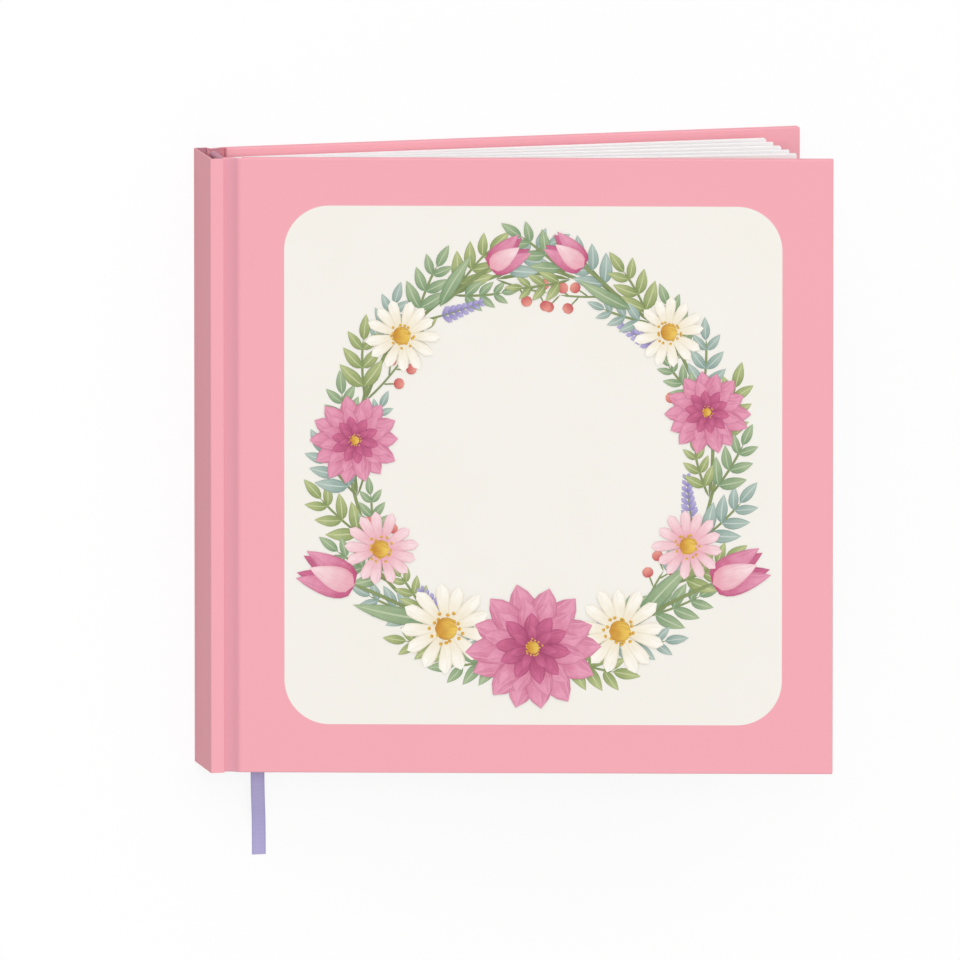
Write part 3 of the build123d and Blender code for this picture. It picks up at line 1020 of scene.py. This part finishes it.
def makeLeaves(p):
    rng = random.Random(11)
    for group, numbers in enumerate(p["groups"]):
        for position, number in enumerate(numbers):
            bm = buildSignature(p, number, group, position, rng)
            piece = newPiece(f"leaves_{number:02d}", bm, [leafPaper], 30)
            bendAtFold(piece, p, group)
            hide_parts(f"signature_{number:02d}")


makeLeaves(leaves)


# Flyleaf: the same white stock as the leaves, left unruled
def makeFlyleafPaper():
    m = newMaterial("plain white flyleaf paper")
    place = addNode(m, "UVMap", uv_map="page")
    fibre = addNode(m, "TexNoise", {"Vector": place, "Scale": perMm(0.5), "Detail": 5.0, "Roughness": 0.65})
    cloud = addNode(m, "TexNoise", {"Vector": place, "Scale": perMm(14.0), "Detail": 3.0, "Roughness": 0.55})
    layers = [(cloud, "#f5f5f1"), (addNode(m, "MapRange", [fibre, 0.55, 0.8, 0.0, 0.25]), "#e9e8e2")]
    return finishSurface(m, "#fbfbf8", layers, 0.85, fibre, (0.04, 0.2), Specular_IOR_Level=0.25)


flyleaves = {"start": 3.0, "foreEdge": 139.4}  # mm from the fold, short of the cut index


def makeFlyleaves(p, f):
    material = makeFlyleafPaper()
    for side, group, outward in (("back", 0, -1), ("front", len(p["groups"]) - 1, 1)):
        foreEdge = f["foreEdge"] + p["creep"][group]
        bm = bmesh.new()
        bmesh.ops.create_grid(bm, x_segments=1, y_segments=1, size=0.5)
        bmesh.ops.scale(bm, vec=(foreEdge - f["start"], 2 * p["halfHeight"], 1), verts=bm.verts)
        bmesh.ops.translate(bm, vec=((foreEdge + f["start"]) / 2, 0, 0), verts=bm.verts)
        cutAcross(bm, bendCuts(p) + [p["foldTaper"]])
        thicken(bm, (0, 0, p["thickness"]))
        writeUv(bm, "page")
        drawTogether(bm, p, group, outward * (halfGroup(p, group) + p["pitch"] / 2) - p["thickness"] / 2)
        piece = newPiece(f"{side}_free_leaf", bm, [material], 30)
        bendAtFold(piece, p, group)
        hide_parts(f"{side}_flyleaf")


makeFlyleaves(leaves, flyleaves)
print("leaves gathered")

# Index letters: one letter pair on the tab of each signature
letters = {"size": 3.3, "ink": "#b0607a", "rise": 0.006, "halfThickness": 0.002}  # mm


# Offset ink on uncoated paper: it sinks in, so it dries dull and a little mottled
def makeLetterInk(color):
    m = newMaterial("offset letter ink")
    place = addNode(m, "TexCoord", give="Object")
    wash = addNode(m, "TexNoise", {"Vector": place, "Scale": perMm(0.4), "Detail": 3.0, "Roughness": 0.55})
    return finishSurface(m, color, [(wash, "#c07a90")], 0.7, Specular_IOR_Level=0.3)


def letterMesh(pair, t):
    curve = bpy.data.curves.new("letters", "FONT")
    curve.body = pair
    curve.size = t["size"]
    curve.align_x = "CENTER"
    curve.align_y = "CENTER"
    curve.resolution_u = 3
    curve.extrude = t["halfThickness"]
    holder = bpy.data.objects.new("letters", curve)
    scene.collection.objects.link(holder)
    mesh = bpy.data.meshes.new_from_object(holder)
    bpy.data.objects.remove(holder)
    bpy.data.curves.remove(curve)
    return mesh


def makeLetters(p, t):
    material = makeLetterInk(t["ink"])
    tabHeight = 2 * p["halfHeight"] / p["tabs"]
    for group, numbers in enumerate(p["groups"]):
        place = leafFrame(p, group)
        whole = bmesh.new()
        for position, number in enumerate(numbers):
            first = ord("A") + 2 * (number - 1)
            mesh = letterMesh(chr(first) + chr(first + 1), t)
            height = (position + 1 - len(numbers) / 2) * p["perSignature"] * p["pitch"]
            height -= (p["pitch"] - p["thickness"]) / 2
            across = p["width"] + p["creep"][group] - p["tabDepth"] / 2
            up = p["halfHeight"] - (number - 0.5) * tabHeight
            for vert in mesh.vertices:
                vert.co = place(across + vert.co.x, up + vert.co.y, height + t["rise"] + vert.co.z)
            whole.from_mesh(mesh)
            bpy.data.meshes.remove(mesh)
        bmesh.ops.remove_doubles(whole, verts=whole.verts, dist=1e-8)
        piece = newPiece(f"index_letters_{group + 1}", whole, [material])
        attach(piece, f"leaf_group_{group + 1}")


makeLetters(leaves, letters)
print("index lettered")

# Bands: cotton threads wound in turn over a cord, rose and mauve
bands = {
    "back": -76.7,  # mm
    "front": -74.6,
    "inner": 78.0,
    "outer": 79.5,
    "low": 3.1,
    "high": 15.9,
    "turns": 22,
    "stepsPerTurn": 4,
    "sides": 14,
    "neck": 0.86,  # share of the full width, where one thread meets the next
}


# Cotton thread: softly spun and matt, with a faint twist of lighter and darker fibre
def makeBandThread(name, light, dark):
    m = newMaterial(name)
    place = addNode(m, "TexCoord", give="Object")
    wave = {"Vector": place, "Scale": waveScale(0.22), "Distortion": 1.5}
    twist = addNode(m, "TexWave", wave, "Fac", bands_direction="DIAGONAL")
    return finishSurface(m, dark, [(twist, light)], 0.75, twist, (0.05, 0.4), Sheen_Weight=0.2)


def makeBands(b):
    threads = [
        makeBandThread("rose cotton thread", "#d998a8", "#bb7d90"),
        makeBandThread("mauve cotton thread", "#bb8397", "#9d6a7d"),
    ]
    depth, height = b["front"] - b["back"], b["outer"] - b["inner"]
    perTurn = b["stepsPerTurn"]
    steps = perTurn * b["turns"]
    for name, side in (("headband", 1), ("tailband", -1)):
        bm = bmesh.new()
        ring = bmesh.ops.create_circle(bm, segments=b["sides"], radius=1.0, cap_ends=True)["verts"]
        middle = Vector(((b["back"] + b["front"]) / 2, side * (b["inner"] + b["outer"]) / 2, b["low"]))
        places = [Vector((v.co.x * depth / 2, v.co.y * height / 2, 0)) for v in ring]
        for vert, place in zip(ring, places):
            vert.co = middle + b["neck"] * place
        for step in range(1, steps + 1):
            edges = [e for e in {e for v in ring for e in v.link_edges} if all(v in ring for v in e.verts)]
            grown = bmesh.ops.extrude_edge_only(bm, edges=edges)
            newRing = pick(grown, BMVert)
            newRing.sort(key=lambda v: min(range(len(ring)), key=lambda i: (ring[i].co - v.co).length))
            swell = b["neck"] + (1 - b["neck"]) * abs(math.sin(math.pi * step / perTurn))
            rise = (b["high"] - b["low"]) * step / steps
            for vert, place in zip(newRing, places):
                vert.co = middle + place * swell + Vector((0, 0, rise))
            for face in pick(grown, BMFace):
                face.material_index = ((step - 1) // perTurn) % 2
            ring = newRing
        bmesh.ops.contextual_create(bm, geom=ring)
        bmesh.ops.recalc_face_normals(bm, faces=bm.faces)
        bmesh.ops.scale(bm, vec=(mm, mm, mm), verts=bm.verts)
        piece = newPiece(f"{name}_winding", bm, threads, 60)
        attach(piece, "spine")
        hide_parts(name)


makeBands(bands)


# Mull: open cotton weave stiffened with size, buff, with glue sunk between its threads
def makeMull():
    m = newMaterial("sized cotton mull")
    place = addNode(m, "TexCoord", give="Object")
    wave = {"Vector": place, "Scale": waveScale(0.9), "Distortion": 0.5}
    threads = [addNode(m, "TexWave", wave, "Fac", bands_direction=axis) for axis in ("Y", "Z")]
    weave = addNode(m, "Math", threads, operation="MAXIMUM")
    return finishSurface(m, "#b79a86", [(weave, "#e6dccb")], 0.88, weave, (0.12, 0.5), Sheen_Weight=0.1)


# Linen thread: hard-twisted and waxed, with a dull shine on each strand
def makeLinen():
    m = newMaterial("waxed linen thread")
    place = addNode(m, "TexCoord", give="Object")
    wave = {"Vector": place, "Scale": waveScale(0.5), "Distortion": 0.8}
    strand = addNode(m, "TexWave", wave, "Fac", bands_direction="DIAGONAL")
    return finishSurface(m, "#d6c9b2", [(strand, "#f1eadb")], 0.6, strand, (0.05, 0.4))


# Endpaper: uncoated pink sheet, softer and a little more fibrous than the laminated cover
def makeEndpaper():
    m = newMaterial("uncoated pink endpaper")
    place = addNode(m, "TexCoord", give="Object")
    fibre = addNode(m, "TexNoise", {"Vector": place, "Scale": perMm(0.6), "Detail": 5.0, "Roughness": 0.65})
    cloud = addNode(m, "TexNoise", {"Vector": place, "Scale": perMm(20.0), "Detail": 3.0, "Roughness": 0.55})
    layers = [(cloud, "#efa5b0"), (addNode(m, "MapRange", [fibre, 0.5, 0.75, 0.0, 0.18]), "#f9c6cd")]
    return finishSurface(m, "#f3abb5", layers, 0.85, fibre, (0.05, 0.25), Specular_IOR_Level=0.25)


# Pastedowns: trimmed inside the cover's squares and turned up over the board's hinge edge
pastedowns = {
    "hinge": 2.65,  # mm from the hinge axis
    "fore": 151.2,
    "halfHeight": 76.5,
    "depth": 3.0,
    "thickness": 0.2,
    "flapTop": 0.33,
    "flapHalf": 79.85,
    "flapThickness": 0.16,  # thinner than the sheet, so that their faces don't share a plane
    "bend": 0.6,
}


def makePastedowns(c, e):
    material = makeEndpaper()
    under, inner = e["depth"] - e["thickness"], e["hinge"] + e["thickness"]
    outline = [
        (e["fore"], -under), (e["fore"], -e["depth"]), (e["hinge"], -e["depth"]),
        (e["hinge"], -e["flapTop"]), (inner, -e["flapTop"]), (inner, -under),
    ]
    for side in ("front", "back"):
        bm = bmesh.new()
        bm.faces.new([bm.verts.new((x, -e["halfHeight"], z)) for x, z in outline])
        thicken(bm, (0, 2 * e["halfHeight"], 0))
        fold = edgesBetween(bm, lambda f: f.normal.x < -0.9, lambda f: f.normal.z < -0.9)
        roundOff(bm, fold, e["bend"], 4)
        # the flap runs on to the board's corners
        height = under - e["flapTop"]
        middle = ((e["hinge"] + inner) / 2, 0, -e["flapTop"] - height / 2)
        addBox(bm, (e["flapThickness"], 2 * e["flapHalf"], height), middle)
        placeOnCover(bm, c, side)
        piece = newPiece(f"{side}_endpaper", bm, [material])
        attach(piece, f"{side}_cover")
        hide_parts(f"{side}_pastedown")


makePastedowns(case, pastedowns)
dressNode("spine_lining", makeMull())
dressNode("sewing_threads", makeLinen())
print("bands, sewing and endpapers dressed")

# Floor: matt white studio paper, which the camera sees as plain white under a faint shadow
floor = {
    "size": 6.0,  # metres
    "color": "#fefefe",
    "bounce": "#cdcdcb",  # duller for the light that it throws back on the book
    "lift": 0.86,  # share of plain white that the camera sees, so the shadow stays faint
    "white": 1.0,
}


def seenDirectly(material):  # 1 for rays that show the background itself, 0 for its light on the book
    rays = addNode(material, "LightPath").node.outputs
    seen = rays["Is Camera Ray"]
    for kind in ("Is Glossy Ray", "Is Transmission Ray"):
        seen = addNode(material, "Math", [seen, rays[kind]], operation="MAXIMUM")
    return seen


def makeFloor(f):
    m = newMaterial("white studio floor")
    seen = seenDirectly(m)
    tones = {0: seen, 6: hexColor(f["bounce"]), 7: hexColor(f["color"])}
    paint = addNode(m, "BsdfDiffuse", {"Color": addNode(m, "Mix", tones, 2, data_type="RGBA")})
    white = addNode(m, "Emission", {"Color": hexColor("#ffffff"), "Strength": f["white"]})
    share = addNode(m, "Math", [seen, f["lift"]], operation="MULTIPLY")
    addNode(m, "OutputMaterial", {"Surface": addNode(m, "MixShader", [share, paint, white])})
    bm = bmesh.new()
    bmesh.ops.create_grid(bm, x_segments=1, y_segments=1, size=f["size"] / 2)
    piece = newPiece("floor", bm, [m])


makeFloor(floor)

# Light: a pale room, brighter towards the head, with one soft lamp overhead
light = {
    "horizon": 0.14,
    "zenith": 0.36,  # added overhead
    "head": 1.35,  # added on the head side, as by a wide window
    "tail": 0.5,  # and on the tail side, as by a reflector
    "keyWatts": 22.0,
    "keyFrom": (-0.4, 0.54, 2.9),  # metres
    "keyTo": (0, 0, 0.03),
    "keySize": 1.0,
}


def addLights(s):
    world = bpy.data.worlds.new("studio")
    scene.world = world
    world.use_nodes = True
    world.node_tree.nodes.clear()
    direction = addNode(world, "TexCoord", give="Generated")
    headward, up = addNode(world, "SeparateXYZ", [direction]).node.outputs[1:3]
    glow = addNode(world, "MapRange", [up, 0.0, 1.0, s["horizon"], s["horizon"] + s["zenith"]])
    for sides in ([0.0, 1.0, 0.0, s["head"]], [-1.0, 0.0, s["tail"], 0.0]):
        glow = addNode(world, "Math", [glow, addNode(world, "MapRange", [headward, *sides])], operation="ADD")
    strength = addNode(world, "Mix", {0: seenDirectly(world), 2: glow, 3: 1.0})
    sky = addNode(world, "Background", {"Color": hexColor("#ffffff"), "Strength": strength})
    addNode(world, "OutputWorld", {"Surface": sky})
    lamp = bpy.data.lights.new("key", "AREA")
    lamp.shape = "DISK"
    lamp.size = s["keySize"]
    lamp.energy = s["keyWatts"]
    holder = bpy.data.objects.new("key", lamp)
    holder.location = s["keyFrom"]
    aim = Vector(s["keyTo"]) - Vector(s["keyFrom"])
    holder.rotation_euler = aim.to_track_quat("-Z", "Y").to_euler()
    scene.collection.objects.link(holder)


addLights(light)
print("floor and lights set")
